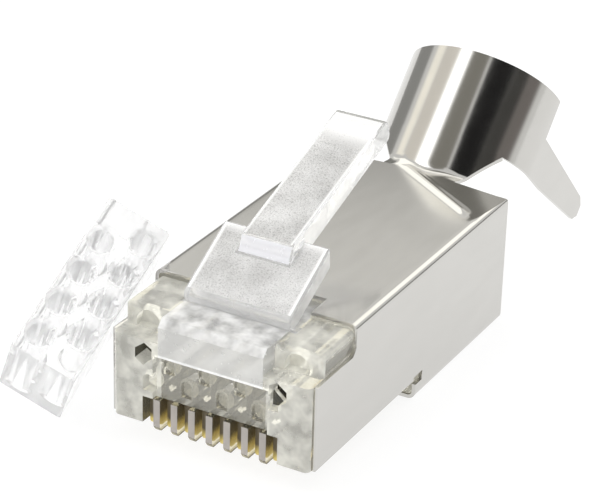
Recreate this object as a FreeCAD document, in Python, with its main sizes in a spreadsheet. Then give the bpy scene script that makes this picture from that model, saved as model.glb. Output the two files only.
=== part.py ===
import FreeCAD, Part
import math
import os
import re
import Sketcher
from FreeCAD import Placement, Rotation, Vector

# Shielded 8P8C modular plug with a staggered load bar and a crimp ferrule.
#
# Millimetres. X runs across the plug, +Y runs back to the cable and +Z is up, on the latch side.
# Sub-parts are drawn with Z = 0 at the underside of the two front corner blocks, and every
# placement then lowers them, so that the document's origin is the middle of the mating face.

# --------------------------------------------------------------------------- driving dimensions
DIMENSIONS = [
    # the plug as a whole
    ("axis_height", 2.65),          # middle of the mating face above the corner blocks
    ("plug_width", 11.68),
    ("sheet_gauge", 0.20),
    ("seat_gap", 0.02),             # between the moulding's top and the sheet
    ("overrun", 2.00),              # how far a cutting outline runs past what it cuts
    ("lap", 0.20),                  # how far one feature is sunk into another
    # moulded housing
    ("nose_top", 5.92),
    ("ledge_height", 4.69),
    ("ledge_depth", 1.15),
    ("corner_round", 0.30),
    ("sheet_round", 0.30),          # long edges inside the folds of the sheet
    ("step_depth", 4.40),           # where the moulding rises to the inside of the sheet
    ("foot_depth", 11.30),          # where the underside drops to the rear section
    ("housing_rear", 17.70),
    ("bed_top", 5.85),              # flat under the latch
    ("bed_front", 2.90),            # the hinge line of the latch
    ("bed_rear", 6.20),
    ("bed_width", 6.30),
    ("root_block_width", 6.00),
    ("root_block_bottom", 3.95),
    ("root_block_brow", 5.62),
    ("root_block_top", 6.02),
    ("root_block_slope", 0.38),
    ("root_block_rear", 3.90),
    ("root_block_heel", 0.30),
    # contact chamber, ribs and blades
    ("pitch_step", 1.02),
    ("chamber_top", 1.50),
    ("chamber_depth", 6.20),
    ("slot_width", 0.64),
    ("rib_foot", -0.40),
    ("rib_length", 6.60),
    ("slit_headroom", 0.10),        # above the points of the prongs
    ("toe_reach", 0.50),            # rounding of a rib's toe, in two facets
    ("toe_rise", 0.36),
    ("toe_knee_depth", 0.17),
    ("toe_knee_rise", 0.10),
    ("blade_thick", 0.33),
    ("blade_clearance", 0.01),
    ("blade_front", 0.45),
    ("blade_rear", 5.90),
    ("blade_foot", -0.30),
    ("blade_shoulder", 1.40),
    ("blade_neck_front", 2.05),
    ("blade_neck_rear", 5.65),
    ("prong_root", 2.25),
    ("prong_tip", 3.00),
    ("prong_pitch", 1.25),
    ("prong_base", 1.10),
    ("prong_point", 0.22),
    ("blade_toe_round", 0.80),
    ("blade_heel_round", 0.30),
    # wire channels and cable cavity
    ("channel_radius", 0.55),
    ("channel_low", 2.35),
    ("channel_high", 3.40),
    ("channel_end", 0.85),
    ("recess_depth", 0.35),         # shallow recess that the channels end in
    ("recess_width", 6.60),
    ("throat_front", 8.00),
    ("throat_floor", 1.60),
    ("throat_roof", 4.30),
    ("throat_width", 9.30),
    ("cavity_front", 12.00),
    ("cavity_width", 9.90),
    ("cavity_floor", -0.35),
    ("cavity_roof", 5.15),
    ("cavity_round", 0.60),
    ("window_width", 0.62),
    ("window_depth", 0.60),
    ("window_height", 0.95),
    ("throat_floor_rear", 0.70),
    # six-sided pockets in the corner blocks, arched ones in the shoulders
    ("pocket_side", 4.33),
    ("pocket_inner_side", 3.36),
    ("pocket_mid_side", 3.85),
    ("pocket_low", 3.28),
    ("pocket_top", 4.55),
    ("pocket_depth", 1.10),
    ("pocket_foot_rise", 0.32),
    ("pocket_inner_rise", 0.42),
    ("pocket_inner_drop", 0.25),
    ("pocket_outer_drop", 0.40),
    ("pocket_peak_side", 3.80),
    ("arch_side", 4.25),
    ("arch_half", 0.70),
    ("arch_foot", 4.74),
    ("arch_crown", 5.72),
    ("arch_depth", 0.50),
    # latch lever
    ("hinge_depth", 2.92),
    ("hinge_height", 6.33),
    ("hinge_radius", 0.48),
    ("hinge_clearance", 0.05),
    ("trough_width", 6.70),
    ("plate_width", 6.10),
    ("plate_shoulder", 6.46),
    ("plate_crest", 8.90),
    ("plate_heel", 7.78),
    ("plate_heel_reach", 0.10),
    ("tab_width", 2.98),
    ("tab_step", 5.00),
    ("tab_front", 5.42),
    ("tab_front_height", 8.98),
    ("tab_tip", 15.35),
    ("tab_tip_height", 12.25),
    ("tab_thick", 1.30),
    ("tab_tip_round", 0.40),
    ("tab_bury", 1.00),             # depth of the tab's root below its front edge
    ("tab_root_rise", 0.30),
    ("tab_root_run", 1.00),
    ("tab_root_lift", 0.42),
    # shield sleeve
    ("shield_top", 6.36),
    ("shield_foot", -1.26),
    ("shield_front", 0.35),
    ("shield_lip", 4.28),
    ("shield_rear", 21.70),
    ("shield_step", 11.20),
    ("step_back", 0.25),            # the side wall's foot starts this far ahead of the step
    ("lip_slant", 0.35),            # corner between the ledge and the front edge
    ("fold_round", 0.45),
    ("notch_width", 6.50),
    ("notch_rear", 5.90),
    ("seam_gap", 0.12),
    ("seam_foot", 0.20),            # relief at the foot of the side walls
    ("relief_depth", 0.75),
    ("relief_low", -0.35),
    # crease across the rear right corner of the roof
    ("crease_start_side", -1.99),
    ("crease_start_depth", 23.13),
    ("crease_end_side", 4.79),
    ("crease_end_depth", 18.55),
    ("crease_drop", 3.50),          # degrees
    # ferrule at the tail of the shield
    ("ferrule_tilt", 44.65),        # degrees above the plug's axis
    ("ferrule_depth", 22.53),
    ("ferrule_height", 6.57),
    ("ferrule_radius", 4.60),
    ("ferrule_rim", 7.25),
    ("ferrule_wall", 4.76),
    ("neck_left", 2.00),
    ("neck_right", 2.45),
    ("roof_shoulder", 5.20),        # half width at the start of the roof's tapered end
    ("roof_taper_end", 22.30),
    ("fold_reach", 22.90),
    ("fold_grip", 2.00),            # height of the blocks that the folded neck is cut from
    ("fold_lap", 0.40),             # overlap of the folded neck and the sleeve's roof
    ("fan_start", -0.05),           # along the tail: end of the bend, start of the fan
    ("fan_drop", 1.90),
    ("ear_tip", 13.30),
    ("ear_nose", 13.85),
    ("ear_rear", 4.90),
    ("ear_front_root", 2.14),
    ("ear_front_tip", 3.40),
    ("ear_waist_drop", 6.80),       # where the front edge of an ear turns
    ("ear_waist_step", 0.35),
    ("ear_nose_front", 0.45),       # cut-off corners at an ear's tip
    ("ear_nose_rear", 0.35),
    ("ear_rear_lean", 0.05),
    # load bar
    ("bar_length", 9.70),
    ("bar_height", 3.65),
    ("bar_depth", 5.40),
    ("bar_bore", 0.62),
    ("bar_row", 0.92),
    ("bar_mouth", 0.20),            # flare at both ends of a bore
    ("bar_edge", 0.20),
]

CONTACT_COUNT = 8
CHANNELS_PER_ROW = 4
PRONGS = 3
FACET_REACH = 12.0                  # size of the plain blocks that trim the crease facets
FACET_HEIGHT = 3.0
FOLD_MARGIN = 0.5                   # growth of the tool that hollows the folded neck
# where the loose load bar stands: its lowest corner and the turn that leans it on the plug
BAR_FOOT = Vector(-8.84, -0.16, 0.0)
BAR_AXIS_ROWS = Vector(0.877, 0.211, -0.432)
BAR_AXIS_LENGTH = Vector(0.031, 0.872, 0.489)


def make_sheet(document):
    """Write the driving dimensions into a spreadsheet, one aliased cell each."""
    sheet = document.addObject("Spreadsheet::Sheet", "dims")
    for row, (alias, value) in enumerate(DIMENSIONS, start=1):
        sheet.set("A%d" % row, alias)
        sheet.set("B%d" % row, str(value))
        sheet.setAlias("B%d" % row, alias)
    document.recompute()
    return sheet


doc = FreeCAD.newDocument("modular_plug")
dims = make_sheet(doc)


def cell(alias):
    """Value of one cell of the sheet."""
    return float(getattr(dims, alias))


def bind(text):
    """Turn each alias in angle brackets in an expression into a reference to the sheet."""
    return re.sub(r"<(\w+)>", r"dims.\1", text)


# --------------------------------------------------------------------------- drawing helpers
def new_body(name):
    """An empty PartDesign body, named and labelled."""
    body = doc.addObject("PartDesign::Body", name)
    body.Label = name
    return body


def lower(item):
    """Place a finished sub-part so that the mating axis is the document's X-Y plane."""
    item.Placement = Placement(Vector(0, 0, -cell("axis_height")), Rotation())


def origin_item(body, role):
    """One of the origin planes or axes of a body, by its role."""
    return next(item for item in body.Origin.OriginFeatures if item.Role == role)


def new_sketch(body, name, role, offset):
    """An empty sketch on an origin plane, moved along the plane's normal by an expression."""
    sketch = body.newObject("Sketcher::SketchObject", name)
    sketch.AttachmentSupport = [(origin_item(body, role), "")]
    sketch.MapMode = "FlatFace"
    if offset:
        sketch.setExpression("AttachmentOffset.Base.z", bind(offset))
    return sketch


def pin_point(sketch, geometry, point, across, along):
    """Fix a point at expressions measured from the sketch's origin; an empty one stays free."""
    for kind, text in (("DistanceX", across), ("DistanceY", along)):
        if not text:
            continue
        expression = bind(text)
        value = float(sketch.evalExpression(expression))
        index = sketch.addConstraint(Sketcher.Constraint(kind, -1, 1, geometry, point, value))
        sketch.setExpression("Constraints[%d]" % index, expression)


def outline(body, name, role, corners, offset=""):
    """A closed outline of straight lines through corners given as expressions."""
    sketch = new_sketch(body, name, role, offset)
    points = [Vector(*(float(sketch.evalExpression(bind(text))) for text in pair), 0)
              for pair in corners]
    count = len(points)
    for index in range(count):
        sketch.addGeometry(Part.LineSegment(points[index], points[(index + 1) % count]), False)
    for index in range(count):
        sketch.addConstraint(Sketcher.Constraint("Coincident", index, 2, (index + 1) % count, 1))
    for index, (across, along) in enumerate(corners):
        pin_point(sketch, index, 1, across, along)
    return sketch


def rectangle(body, name, role, left, right, low, high, offset=""):
    """A rectangular outline between four expressions."""
    corners = [(left, low), (right, low), (right, high), (left, high)]
    return outline(body, name, role, corners, offset)


def tongue(body, name, role, centre, half_width, flat_end, round_end, offset=""):
    """An outline with one square end and one half-round end, like the foot of a rib."""
    sketch = new_sketch(body, name, role, offset)
    middle, half, flat, tip = (float(sketch.evalExpression(bind(text)))
                               for text in (centre, half_width, flat_end, round_end))
    upward = tip > flat
    bend = tip - half if upward else tip + half
    start, end = (0.0, math.pi) if upward else (math.pi, 2 * math.pi)
    arc = Part.ArcOfCircle(Part.Circle(Vector(middle, bend, 0), Vector(0, 0, 1), half), start, end)
    right, left = Vector(middle + half, flat, 0), Vector(middle - half, flat, 0)
    first, last = (right, left) if upward else (left, right)
    sketch.addGeometry(arc, False)
    sketch.addGeometry(Part.LineSegment(last + Vector(0, bend - flat, 0), last), False)
    sketch.addGeometry(Part.LineSegment(last, first), False)
    sketch.addGeometry(Part.LineSegment(first, first + Vector(0, bend - flat, 0)), False)
    sketch.addConstraint(Sketcher.Constraint("Coincident", 0, 2, 1, 1))
    sketch.addConstraint(Sketcher.Constraint("Coincident", 1, 2, 2, 1))
    sketch.addConstraint(Sketcher.Constraint("Coincident", 2, 2, 3, 1))
    sketch.addConstraint(Sketcher.Constraint("Coincident", 3, 2, 0, 1))
    bend_line = "%s %s (%s)" % (round_end, "-" if upward else "+", half_width)
    pin_point(sketch, 0, 3, centre, bend_line)
    pin_point(sketch, 0, 1, "", bend_line)
    pin_point(sketch, 0, 2, "", bend_line)
    pin_point(sketch, 2, 1, "", flat_end)
    index = sketch.addConstraint(Sketcher.Constraint("Radius", 0, half))
    sketch.setExpression("Constraints[%d]" % index, bind(half_width))
    sketch.addConstraint(Sketcher.Constraint("Vertical", 1))
    sketch.addConstraint(Sketcher.Constraint("Horizontal", 2))
    sketch.addConstraint(Sketcher.Constraint("Vertical", 3))
    return sketch


def circle(body, name, role, centre, radius, offset=""):
    """A circle about a point given by two expressions."""
    sketch = new_sketch(body, name, role, offset)
    middle = Vector(*(float(sketch.evalExpression(bind(text))) for text in centre), 0)
    size = float(sketch.evalExpression(bind(radius)))
    sketch.addGeometry(Part.Circle(middle, Vector(0, 0, 1), size), False)
    pin_point(sketch, 0, 3, *centre)
    index = sketch.addConstraint(Sketcher.Constraint("Radius", 0, size))
    sketch.setExpression("Constraints[%d]" % index, bind(radius))
    return sketch


def extrude(body, kind, name, sketch, length, symmetric=False, backwards=False):
    """Pad or pocket a sketch, and check that it changed the body's volume."""
    before = 0.0 if body.Tip is None else body.Shape.Volume
    feature = body.newObject("PartDesign::" + kind, name)
    feature.Profile = sketch
    feature.SideType = "Symmetric" if symmetric else "One side"
    feature.Reversed = backwards
    feature.setExpression("Length", bind(length))
    doc.recompute()
    change = body.Shape.Volume - before
    if (change > 0) != (kind == "Pad") or abs(change) < 1e-6:
        raise RuntimeError("%s %s of %s changed the volume by %g" % (kind, name, body.Label, change))
    return feature


def repeat(body, name, feature, spacing, count):
    """Repeat a feature across the plug, along +X."""
    pattern = body.newObject("PartDesign::LinearPattern", name)
    pattern.Originals = [feature]
    pattern.Direction = (origin_item(body, "X_Axis"), [""])
    pattern.Mode = "Spacing"
    pattern.Occurrences = count
    pattern.setExpression("Offset", bind(spacing))
    body.Tip = pattern
    doc.recompute()
    return pattern


def mirror(body, name, feature):
    """Mirror a feature to the other side of the plug."""
    copy = body.newObject("PartDesign::Mirrored", name)
    copy.Originals = [feature]
    copy.MirrorPlane = (origin_item(body, "YZ_Plane"), [""])
    body.Tip = copy
    doc.recompute()
    return copy


def edges_where(body, test):
    """Names of the edges of a body whose middle and direction pass a test."""
    names = []
    for index, edge in enumerate(body.Shape.Edges, start=1):
        ends = [vertex.Point for vertex in edge.Vertexes]
        if len(ends) == 2 and isinstance(edge.Curve, Part.Line):
            if test((ends[0] + ends[1]) * 0.5, (ends[1] - ends[0]).normalize()):
                names.append("Edge%d" % index)
    return names


def rims_where(body, test):
    """Names of the full circles among the edges of a body whose centre passes a test."""
    return ["Edge%d" % index for index, edge in enumerate(body.Shape.Edges, start=1)
            if isinstance(edge.Curve, Part.Circle) and edge.isClosed() and test(edge.Curve.Center)]


def soften(body, kind, name, test, size, search=edges_where):
    """Fillet or chamfer the edges of a body that pass a test."""
    base = body.Tip
    names = search(body, test)
    if not names:
        raise RuntimeError("no edge to soften for " + name)
    feature = body.newObject("PartDesign::" + kind, name)
    feature.Base = (base, names)
    feature.setExpression("Radius" if kind == "Fillet" else "Size", bind(size))
    body.Tip = feature
    doc.recompute()
    if "Invalid" in feature.State:
        raise RuntimeError("could not soften " + name)
    return feature


def near(value, target, tolerance=0.02):
    """Whether two lengths agree."""
    return abs(value - target) < tolerance


# --------------------------------------------------------------------------- moulded housing
HOUSING_WIDTH = "<plug_width> - 2 * <sheet_gauge>"
FIRST_CONTACT = "-3.5 * <pitch_step>"


def draw_shell(body):
    """Outer form: nose with its ledge, the rise to the sheet, and the dropped rear underside."""
    top = "<shield_top> - <sheet_gauge> - <seat_gap>"
    floor = "<shield_foot> + <sheet_gauge> + <seat_gap>"
    profile = outline(body, "side_view", "YZ_Plane", [
        ("0", "0"), ("<foot_depth>", "0"), ("<foot_depth>", floor), ("<housing_rear>", floor),
        ("<housing_rear>", top), ("<step_depth>", top), ("<step_depth>", "<nose_top>"),
        ("<ledge_depth>", "<nose_top>"), ("<ledge_depth>", "<ledge_height>"),
        ("0", "<ledge_height>")])
    extrude(body, "Pad", "shell", profile, HOUSING_WIDTH, symmetric=True)
    side = (cell("plug_width") / 2) - cell("sheet_gauge")
    soften(body, "Fillet", "corner_rounds",
           lambda middle, way: near(abs(middle.x), side) and near(abs(way.z), 1)
           and (near(middle.y, 0) or near(middle.y, cell("ledge_depth"))), "<corner_round>")
    soften(body, "Fillet", "shoulder_rounds",
           lambda middle, way: near(abs(middle.x), side) and near(abs(way.y), 1)
           and near(middle.z, cell("nose_top")), "<corner_round>")
    soften(body, "Fillet", "sheet_rounds",
           lambda middle, way: near(abs(middle.x), side) and near(abs(way.y), 1)
           and (middle.z > cell("nose_top") + 0.1 or middle.z < -0.5), "<sheet_round>")


def draw_latch_bed(body):
    """Flat bed under the latch, and the block that carries the latch's root."""
    bed = rectangle(body, "bed_view", "YZ_Plane", "<bed_front>", "<bed_rear>",
                    "<bed_top>", "<bed_top> + <overrun>")
    extrude(body, "Pocket", "latch_bed", bed, "<bed_width>", symmetric=True)
    block = outline(body, "root_block_view", "YZ_Plane", [
        ("0", "<root_block_bottom>"), ("<root_block_rear>", "<root_block_bottom>"),
        ("<root_block_rear>", "<bed_top>"),
        ("<hinge_depth> + <root_block_heel>", "<bed_top>"),
        ("<hinge_depth>", "<root_block_top>"), ("<root_block_slope>", "<root_block_top>"),
        ("0", "<root_block_brow>")])
    extrude(body, "Pad", "root_block", block, "<root_block_width>", symmetric=True)
    trough = circle(body, "trough_view", "YZ_Plane", ("<hinge_depth>", "<hinge_height>"),
                    "<hinge_radius> + <hinge_clearance>")
    extrude(body, "Pocket", "hinge_trough", trough, "<trough_width>", symmetric=True)


def draw_contact_chamber(body):
    """Chamber for the eight blades, divided by seven ribs with half-round feet."""
    chamber = rectangle(body, "chamber_view", "YZ_Plane", "-<overrun>", "<chamber_depth>",
                        "-<overrun>", "<chamber_top>")
    extrude(body, "Pocket", "contact_chamber", chamber,
            "7 * <pitch_step> + <slot_width>", symmetric=True)
    rib = tongue(body, "rib_view", "XZ_Plane", "-3 * <pitch_step>",
                 "(<pitch_step> - <slot_width>) / 2", "<chamber_top> + <lap>", "<rib_foot>")
    pad = extrude(body, "Pad", "rib", rib, "<rib_length>", backwards=True)
    repeat(body, "ribs", pad, "<pitch_step>", CONTACT_COUNT - 1)
    toe = outline(body, "rib_toe_view", "YZ_Plane", [
        ("-<overrun>", "<rib_foot> - <overrun>"), ("<toe_reach>", "<rib_foot> - <overrun>"),
        ("<toe_reach>", "<rib_foot>"), ("<toe_knee_depth>", "<rib_foot> + <toe_knee_rise>"),
        ("0", "<rib_foot> + <toe_rise>"), ("-<overrun>", "<rib_foot> + <toe_rise>")])
    extrude(body, "Pocket", "rib_toes", toe, "7 * <pitch_step>", symmetric=True)
    slit = rectangle(body, "blade_slit_view", "XY_Plane",
                     FIRST_CONTACT + " - <blade_thick> / 2 - <blade_clearance>",
                     FIRST_CONTACT + " + <blade_thick> / 2 + <blade_clearance>",
                     "<blade_neck_front> - <blade_clearance>",
                     "<blade_neck_rear> + <blade_clearance>", offset="<chamber_top>")
    pocket = extrude(body, "Pocket", "blade_slit", slit,
                     "<prong_tip> - <chamber_top> + <slit_headroom>", backwards=True)
    repeat(body, "blade_slits", pocket, "<pitch_step>", CONTACT_COUNT)


def draw_wire_channels(body):
    """Cable cavity, and two staggered rows of wire channels with a window at each end."""
    cavity = rectangle(body, "cavity_view", "XZ_Plane", "-<cavity_width> / 2", "<cavity_width> / 2",
                       "<cavity_floor>", "<cavity_roof>", offset="-<housing_rear>")
    extrude(body, "Pocket", "cable_cavity", cavity, "<housing_rear> - <cavity_front>",
            backwards=True)
    half = cell("cavity_width") / 2
    soften(body, "Fillet", "cavity_rounds",
           lambda middle, way: near(abs(middle.x), half) and near(abs(way.y), 1), "<cavity_round>")
    throat = outline(body, "throat_view", "YZ_Plane", [
        ("<throat_front>", "<throat_floor>"), ("<cavity_front> + <lap>", "<throat_floor_rear>"),
        ("<cavity_front> + <lap>", "<cavity_roof> - <lap>"),
        ("<throat_front>", "<throat_roof>")])
    extrude(body, "Pocket", "wire_throat", throat, "<throat_width>", symmetric=True)
    recess = rectangle(body, "recess_view", "XZ_Plane", "-<recess_width> / 2",
                       "<recess_width> / 2", "<chamber_top>", "<root_block_bottom>")
    extrude(body, "Pocket", "front_recess", recess, "<recess_depth>")
    for row, height, first in (("low", "<channel_low>", FIRST_CONTACT),
                               ("high", "<channel_high>", "-2.5 * <pitch_step>")):
        bore = circle(body, row + "_channel_view", "XZ_Plane", (first, height),
                      "<channel_radius>", offset="-<throat_front>")
        pocket = extrude(body, "Pocket", row + "_channel", bore,
                         "<throat_front> - <channel_end>", backwards=True)
        repeat(body, row + "_channels", pocket, "2 * <pitch_step>", CHANNELS_PER_ROW)
        window = tongue(body, row + "_window_view", "XZ_Plane", first, "<window_width> / 2",
                        height + " - <window_height> / 2", height + " + <window_height> / 2")
        pocket = extrude(body, "Pocket", row + "_window", window, "<window_depth>")
        repeat(body, row + "_windows", pocket, "2 * <pitch_step>", CHANNELS_PER_ROW)


def draw_core_pockets(body):
    """Six-sided cored pockets in the corner blocks and arched ones in the shoulders."""
    cored = outline(body, "corner_pocket_view", "XZ_Plane", [
        ("-<pocket_side>", "<pocket_low> + <pocket_foot_rise>"),
        ("-<pocket_mid_side>", "<pocket_low>"),
        ("-<pocket_inner_side>", "<pocket_low> + <pocket_inner_rise>"),
        ("-<pocket_inner_side>", "<pocket_top> - <pocket_inner_drop>"),
        ("-<pocket_peak_side>", "<pocket_top>"),
        ("-<pocket_side>", "<pocket_top> - <pocket_outer_drop>")])
    pocket = extrude(body, "Pocket", "corner_pocket", cored, "<pocket_depth>")
    mirror(body, "corner_pockets", pocket)
    arch = tongue(body, "shoulder_pocket_view", "XZ_Plane", "-<arch_side>", "<arch_half>",
                  "<arch_foot>", "<arch_crown>", offset="-<ledge_depth>")
    pocket = extrude(body, "Pocket", "shoulder_pocket", arch, "<arch_depth>")
    mirror(body, "shoulder_pockets", pocket)


def make_housing():
    """The moulded body of the plug."""
    body = new_body("housing")
    draw_shell(body)
    draw_latch_bed(body)
    draw_contact_chamber(body)
    draw_wire_channels(body)
    draw_core_pockets(body)
    lower(body)
    return body


# --------------------------------------------------------------------------- contacts
def make_contact(number):
    """One blade: rounded foot, and three piercing prongs that reach up into its wire channel."""
    body = new_body("contact_%d" % number)
    corners = [("<blade_front>", "<blade_foot>"), ("<blade_rear>", "<blade_foot>"),
               ("<blade_rear>", "<blade_shoulder>"), ("<blade_neck_rear>", "<blade_shoulder>")]
    for prong in reversed(range(PRONGS)):
        start = "<blade_neck_front> + %d * <prong_pitch>" % prong
        corners += [(start + " + <prong_base>", "<prong_root>"),
                    (start + " + <prong_base> / 2 + <prong_point> / 2", "<prong_tip>"),
                    (start + " + <prong_base> / 2 - <prong_point> / 2", "<prong_tip>"),
                    (start, "<prong_root>")]
    corners += [("<blade_neck_front>", "<blade_shoulder>"), ("<blade_front>", "<blade_shoulder>")]
    profile = outline(body, "blade_view", "YZ_Plane", corners)
    extrude(body, "Pad", "blade", profile, "<blade_thick>", symmetric=True)
    foot = cell("blade_foot")
    for place, size in (("blade_front", "<blade_toe_round>"), ("blade_rear", "<blade_heel_round>")):
        soften(body, "Fillet", place + "_round",
               lambda middle, way, depth=cell(place): near(abs(way.x), 1) and near(middle.z, foot)
               and near(middle.y, depth), size)
    side = (number - (CONTACT_COUNT + 1) / 2) * cell("pitch_step")
    body.Placement = Placement(Vector(side, 0, -cell("axis_height")), Rotation())
    return body


# --------------------------------------------------------------------------- latch lever
def make_latch_lever():
    """Wide locking plate on a round root, with the narrow finger tab raised on top of it."""
    body = new_body("latch_lever")
    root = circle(body, "root_view", "YZ_Plane", ("<hinge_depth>", "<hinge_height>"),
                  "<hinge_radius>")
    extrude(body, "Pad", "root", root, "<plate_width>", symmetric=True)
    rise = math.atan2(cell("plate_crest") - cell("hinge_height") - cell("hinge_radius"),
                      cell("plate_shoulder") - cell("hinge_depth"))
    lift = "<hinge_radius> * %.6f" % math.cos(rise)
    lean = "<hinge_radius> * %.6f" % math.sin(rise)
    plate = outline(body, "plate_view", "YZ_Plane", [
        ("<hinge_depth> - " + lean, "<hinge_height> + " + lift),
        ("<hinge_depth> + " + lean, "<hinge_height> - " + lift),
        ("<plate_shoulder> + <plate_heel_reach>", "<plate_heel>"),
        ("<plate_shoulder>", "<plate_crest>")])
    extrude(body, "Pad", "plate", plate, "<plate_width>", symmetric=True)
    slope = math.atan2(cell("tab_tip_height") - cell("tab_front_height"),
                       cell("tab_tip") - cell("tab_front"))
    drop = "<tab_thick> * %.6f" % math.cos(slope)
    back = "<tab_thick> * %.6f" % math.sin(slope)
    tab = outline(body, "tab_view", "YZ_Plane", [
        ("<tab_step>", "<tab_front_height> - <tab_bury>"),
        ("<plate_shoulder>", "<plate_heel> + <tab_root_rise>"),
        ("<plate_shoulder> + <tab_root_run>", "<plate_heel> + <tab_root_lift>"),
        ("<tab_tip> + " + back, "<tab_tip_height> - " + drop),
        ("<tab_tip>", "<tab_tip_height>"), ("<tab_front>", "<tab_front_height>")])
    extrude(body, "Pad", "finger_tab", tab, "<tab_width>", symmetric=True)
    soften(body, "Fillet", "tip_rounds",
           lambda middle, way: near(abs(way.x), 1) and middle.y > cell("tab_tip") - 0.1,
           "<tab_tip_round>")
    lower(body)
    return body


# --------------------------------------------------------------------------- shield
def sleeve_solid(name, inset, start, end):
    """A rounded block, the outside or the inside of the shield's sleeve."""
    body = new_body(name)
    face = rectangle(body, name + "_view", "XZ_Plane",
                     "-<plug_width> / 2 + " + inset, "<plug_width> / 2 - " + inset,
                     "<shield_foot> + " + inset, "<shield_top> - " + inset, offset="-(%s)" % start)
    extrude(body, "Pad", name + "_block", face, "%s - (%s)" % (end, start), backwards=True)
    soften(body, "Fillet", name + "_folds", lambda middle, way: near(abs(way.y), 1),
           "<fold_round> - " + inset)
    return body


def crease_block(name, depth):
    """A block whose tilted underside forms the facet behind the crease of the roof."""
    start = Vector(cell("crease_start_side"), cell("crease_start_depth"),
                   cell("shield_top") - depth)
    run = Vector(cell("crease_end_side"), cell("crease_end_depth"), start.z) - start
    turn = Rotation(Vector(0, 0, 1), math.degrees(math.atan2(run.y, run.x)))
    tilt = Rotation(Vector(1, 0, 0), -cell("crease_drop"))
    block = doc.addObject("Part::Box", name)
    block.Length, block.Width, block.Height = 2 * FACET_REACH, FACET_REACH, FACET_HEIGHT
    block.Placement = Placement(start, turn * tilt) * Placement(Vector(-FACET_REACH, 0, 0),
                                                                Rotation())
    return block


def subtract(name, base, tools):
    """Cut several tools from one solid."""
    cutter = tools[0]
    if len(tools) > 1:
        cutter = doc.addObject("Part::MultiFuse", name + "_tools")
        cutter.Shapes = tools
    result = doc.addObject("Part::Cut", name)
    result.Base = base
    result.Tool = cutter
    return result


def make_sleeve():
    """Folded sleeve round the housing, cut away at the front, under the nose and at the latch."""
    outside = sleeve_solid("sleeve_outside", "0", "<shield_front>", "<shield_rear>")
    inside = sleeve_solid("sleeve_inside", "<sheet_gauge>", "-<overrun>",
                          "<shield_rear> + <overrun>")
    creased = subtract("creased_outside", outside, [crease_block("sleeve_crease", 0.0)])
    hollow = subtract("creased_inside", inside,
                      [crease_block("hollow_crease", cell("sheet_gauge"))])
    trims = new_body("sleeve_trims")
    lip = outline(trims, "lip_view", "YZ_Plane", [
        ("-<overrun>", "<ledge_height>"), ("<shield_lip> - <lip_slant>", "<ledge_height>"),
        ("<shield_lip>", "<ledge_height> + <lip_slant>"),
        ("<shield_lip>", "<shield_top> + <overrun>"), ("-<overrun>", "<shield_top> + <overrun>")])
    extrude(trims, "Pad", "lip_cut", lip, "<plug_width> + <overrun>", symmetric=True)
    notch = rectangle(trims, "notch_view", "YZ_Plane", "<shield_lip> - <lap>", "<notch_rear>",
                      "<shield_top> - <fold_round>", "<shield_top> + <overrun>")
    extrude(trims, "Pad", "notch_cut", notch, "<notch_width>", symmetric=True)
    under = outline(trims, "under_view", "YZ_Plane", [
        ("-<overrun>", "<shield_foot> - <overrun>"), ("<shield_step>", "<shield_foot> - <overrun>"),
        ("<shield_step>", "<relief_low>"),
        ("<shield_step> + <relief_depth>", "<relief_low>"),
        ("<shield_step> + <relief_depth>", "<seam_foot>"),
        ("<shield_step> - <step_back>", "<seam_foot>"), ("<shield_step> - <step_back>", "0"),
        ("-<overrun>", "0")])
    extrude(trims, "Pad", "under_cut", under, "<plug_width> + <overrun>", symmetric=True)
    seam = rectangle(trims, "seam_view", "YZ_Plane", "<shield_step> - <lap>",
                     "<shield_rear> + <overrun>", "<shield_foot> - <overrun>",
                     "<shield_foot> + <fold_round>")
    extrude(trims, "Pad", "seam_cut", seam, "<seam_gap>", symmetric=True)
    return subtract("sleeve", creased, [hollow, trims])


def ferrule_place():
    """Frame of the ferrule: its Y axis runs up the tilted barrel."""
    base = Vector(0, cell("ferrule_depth"), cell("ferrule_height"))
    return Placement(base, Rotation(Vector(1, 0, 0), cell("ferrule_tilt")))


def make_ferrule():
    """Half-round crimp barrel with two tapered ears, cut from one folded strip."""
    barrel = new_body("ferrule_barrel")
    outer = tongue(barrel, "barrel_outside", "XZ_Plane", "0", "<ferrule_radius>",
                   "-<ear_nose> - <overrun>", "0", offset="<overrun>")
    extrude(barrel, "Pad", "barrel", outer, "<ferrule_rim> + 2 * <overrun>", backwards=True)
    inner = tongue(barrel, "barrel_inside", "XZ_Plane", "0", "<ferrule_radius> - <sheet_gauge>",
                   "-<ear_nose> - 2 * <overrun>", "-<sheet_gauge>", offset="2 * <overrun>")
    extrude(barrel, "Pocket", "barrel_hollow", inner, "<ferrule_rim> + 4 * <overrun>")
    trim = new_body("ferrule_outline")
    side = outline(trim, "ferrule_side", "YZ_Plane", [
        ("<ear_front_root>", "<overrun>"), ("<ear_front_root>", "-<fan_drop>"),
        ("<ear_front_root> + <ear_waist_step>", "-<ear_waist_drop>"),
        ("<ear_front_tip>", "-<ear_tip>"), ("<ear_front_tip> + <ear_nose_front>", "-<ear_nose>"),
        ("<ear_rear> - <ear_nose_rear>", "-<ear_nose>"), ("<ear_rear>", "-<ear_tip>"),
        ("<ear_rear> - <ear_rear_lean>", "-<ferrule_wall>"),
        ("<ferrule_rim>", "-<ferrule_wall>"), ("<ferrule_rim>", "<overrun>")])
    extrude(trim, "Pad", "ferrule_side_pad", side, "2 * <ferrule_radius> + <overrun>",
            symmetric=True)
    ferrule = doc.addObject("Part::Common", "ferrule")
    ferrule.Base = barrel
    ferrule.Tool = trim
    ferrule.Placement = ferrule_place()
    return ferrule


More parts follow.
